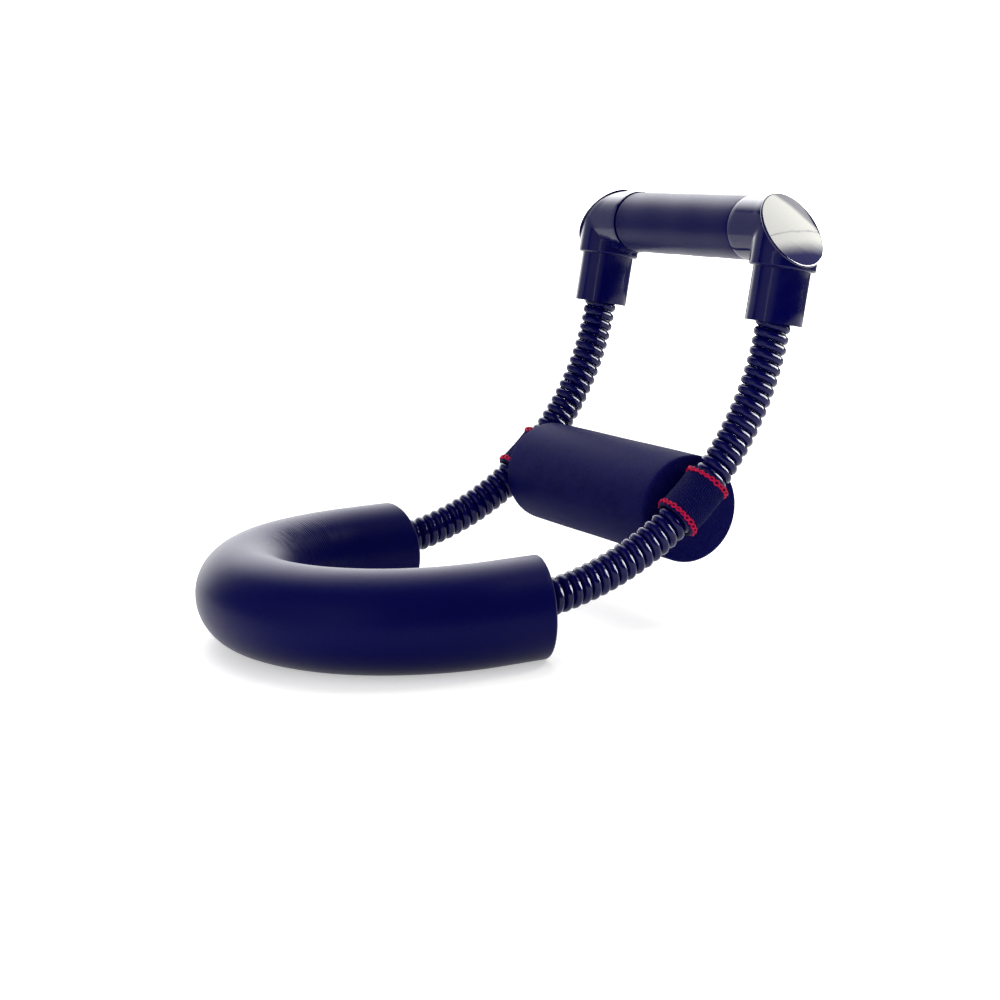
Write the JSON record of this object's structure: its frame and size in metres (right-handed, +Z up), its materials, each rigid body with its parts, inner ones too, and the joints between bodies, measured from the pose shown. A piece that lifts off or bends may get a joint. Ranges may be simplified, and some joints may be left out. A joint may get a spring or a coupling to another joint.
{
  "type": "wrist exerciser",
  "caption": "Wrist exerciser: U-shaped foam arm rest, coil springs that bend with the wrist, a foam roller on a sliding strap and a handle between moulded elbows.",
  "frame": {"origin": "on the flat underside of the arm rest, at the middle of its closed end", "axes": "+X across, towards the right-hand spring; +Y from the closed end of the arm rest towards the handle; +Z up"},
  "size_m": [0.182, 0.2457, 0.1753],
  "materials": {
    "pad_foam": "matte closed-cell foam, black",
    "roller_foam": "matte fine-grained foam, black",
    "spring_paint": "gloss black coating on steel wire",
    "webbing": "black woven webbing with red edge stitching",
    "elbow_plastic": "gloss black moulding",
    "cap_gloss": "gloss black cover plate, polished to a mirror",
    "bare_steel": "plain drawn steel",
    "zinc_plate": "zinc plated steel"
  },
  "bodies": {
    "arm_rest": {"arm_pad": "pad_foam", "frame_tube": "bare_steel", "lower_plug_left": "bare_steel", "lower_plug_right": "bare_steel", "plug_pin_left": "zinc_plate", "plug_pin_right": "zinc_plate"},
    "springs": {"spring_left": "spring_paint", "spring_right": "spring_paint"},
    "wrist_support": {"support_strap": "webbing", "roller_foam": "roller_foam"},
    "handle": {"elbow_left": "elbow_plastic", "elbow_right": "elbow_plastic", "cap_left": "cap_gloss", "cap_right": "cap_gloss", "upper_plug_left": "bare_steel", "upper_plug_right": "bare_steel", "spring_screw_left": "zinc_plate", "spring_screw_right": "zinc_plate", "handle_screw_left": "zinc_plate", "handle_screw_right": "zinc_plate", "handle_rod": "bare_steel", "grip_foam": "pad_foam"}
  },
  "joints": [
    {"name": "lower_flex", "type": "hinge", "parent": "arm_rest", "child": "springs", "pos_m": [0, 0.1216, 0.0297], "axis": [1, 0, 0], "range_deg": [-30, 15], "stiffness_Nm_per_rad": 20, "deforming": ["spring_left", "spring_right"]},
    {"name": "upper_flex", "type": "hinge", "parent": "springs", "child": "handle", "pos_m": [0, 0.1925, 0.0942], "axis": [1, 0, 0], "range_deg": [-30, 15], "stiffness_Nm_per_rad": 20, "deforming": ["spring_left", "spring_right"]},
    {"name": "strap_slide", "type": "hinge", "parent": "springs", "child": "wrist_support", "pos_m": [0, 0.0774, 0.1495], "axis": [1, 0, 0], "range_deg": [-7, 7]}
  ],
  "couplings": [
    {"joint": "upper_flex", "follows": "lower_flex", "ratio": 1}
  ]
}
